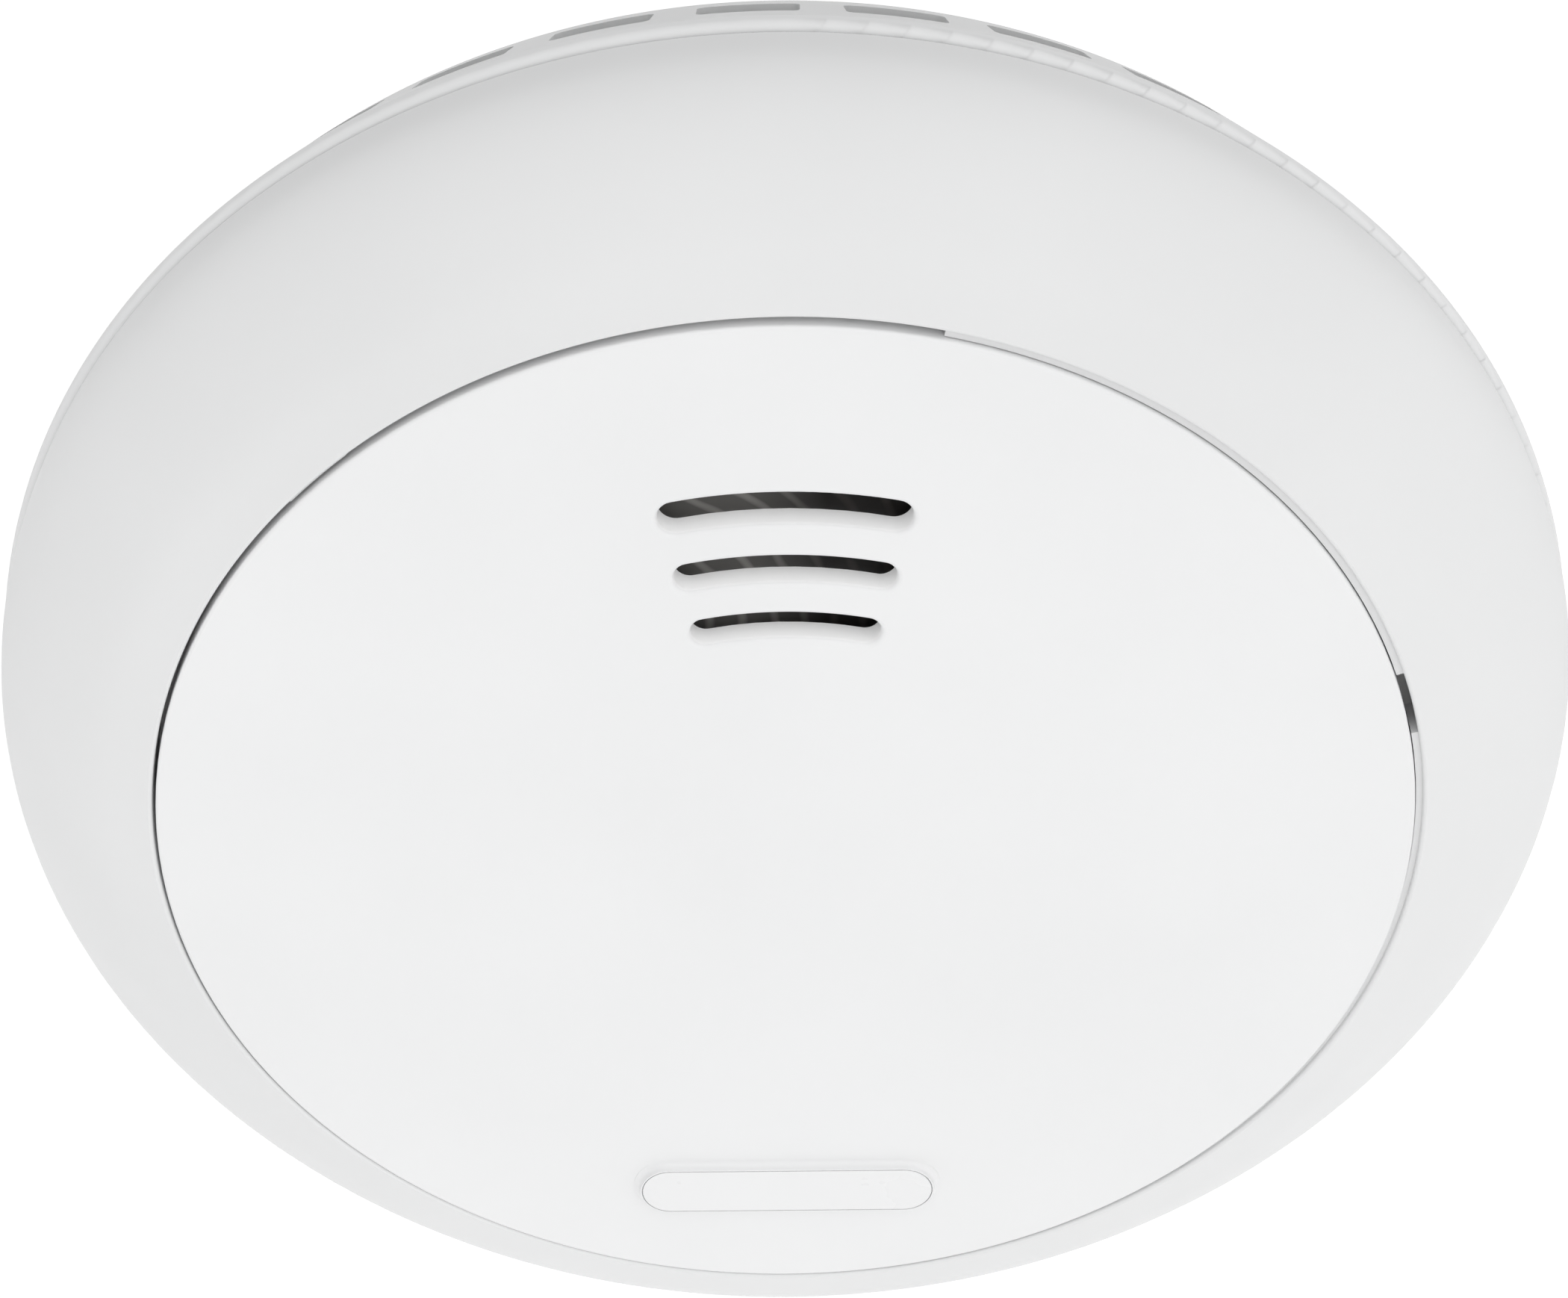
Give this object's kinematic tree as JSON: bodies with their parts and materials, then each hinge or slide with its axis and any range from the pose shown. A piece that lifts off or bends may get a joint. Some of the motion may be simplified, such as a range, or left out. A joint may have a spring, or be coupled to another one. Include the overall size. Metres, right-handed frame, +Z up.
{
  "type": "carbon monoxide detector",
  "caption": "Round wall-mounted carbon monoxide detector with a domed cover, vented rim, slotted press-to-test front plate, bayonet base and battery door.",
  "frame": {"origin": "centre of the mounting plate's flat back, on the detector's axis at the wall", "axes": "-Y points out of the wall along the detector's axis, +Z is up, +X is to the right of someone facing it"},
  "size_m": [0.132, 0.0363, 0.132],
  "materials": {
    "housing_white": "fine matte moulded texture",
    "plate_white": "smooth satin",
    "badge_white": "semi-gloss",
    "base_white": "matte moulded",
    "screw_steel": "zinc plated",
    "contact_steel": "nickel plated",
    "foam": "closed-cell foam",
    "cell_steel": "bare can",
    "cell_wrap": "printed shrink sleeve, blank",
    "board_green": "solder mask",
    "horn_dark": "dark brown moulded",
    "brass": "satin",
    "ring_rubber": "matte",
    "sensor_steel": "drawn can",
    "sensor_cap_plastic": "matte",
    "filter_felt": "felt",
    "chip_black": "moulded epoxy",
    "capacitor_sleeve": "shrink sleeve",
    "ferrite": "ferrite",
    "led_epoxy": "diffused epoxy",
    "switch_black": "moulded",
    "plunger_white": "moulded",
    "label_silver": "blank printed label"
  },
  "bodies": {
    "mount": {"mounting_plate": "base_white"},
    "detector": {"rear_housing": "housing_white", "front_housing": "housing_white", "housing_screws": "screw_steel", "battery_cells": "cell_steel", "battery_wraps": "cell_wrap", "contact_link": "contact_steel", "contact_positive": "contact_steel", "contact_negative": "contact_steel", "main_board": "board_green", "board_screws": "screw_steel", "horn_body": "horn_dark", "piezo_disc": "brass", "horn_ring": "ring_rubber", "horn_cap": "horn_dark", "sensor_can": "sensor_steel", "sensor_cap": "sensor_cap_plastic", "sensor_filter": "filter_felt", "sensor_pins": "brass", "test_switch_body": "switch_black", "plate_springs": "contact_steel", "microcontroller": "chip_black", "capacitors": "capacitor_sleeve", "transformer": "ferrite", "crystal": "sensor_steel", "status_leds": "led_epoxy", "surface_mount_parts": "chip_black", "pin_header": "chip_black", "rating_label": "label_silver"},
    "test_plate": {"test_plate": "plate_white", "badge": "badge_white"},
    "switch_plunger": {"test_switch_plunger": "plunger_white"},
    "battery_door": {"battery_door": "base_white", "battery_door_pad": "foam"}
  },
  "joints": [
    {"name": "bayonet_twist", "type": "hinge", "parent": "mount", "child": "detector", "pos_m": [0, 0, 0], "axis": [0, -1, 0], "range_deg": [0, 24]},
    {"name": "test_plate_press", "type": "slide", "parent": "detector", "child": "test_plate", "axis": [0, 1, 0], "range_m": [0, 0.0008], "stiffness_N_per_m": 1500, "springref_m": -0.001, "deforming": ["plate_springs"]},
    {"name": "switch_plunger_travel", "type": "slide", "parent": "detector", "child": "switch_plunger", "axis": [0, 1, 0], "range_m": [0, 0.0008]},
    {"name": "battery_door_hinge", "type": "hinge", "parent": "detector", "child": "battery_door", "pos_m": [0, -0.0081, 0.0169], "axis": [1, 0, 0], "range_deg": [0, 95]}
  ],
  "couplings": [
    {"joint": "switch_plunger_travel", "follows": "test_plate_press", "ratio": 1}
  ]
}
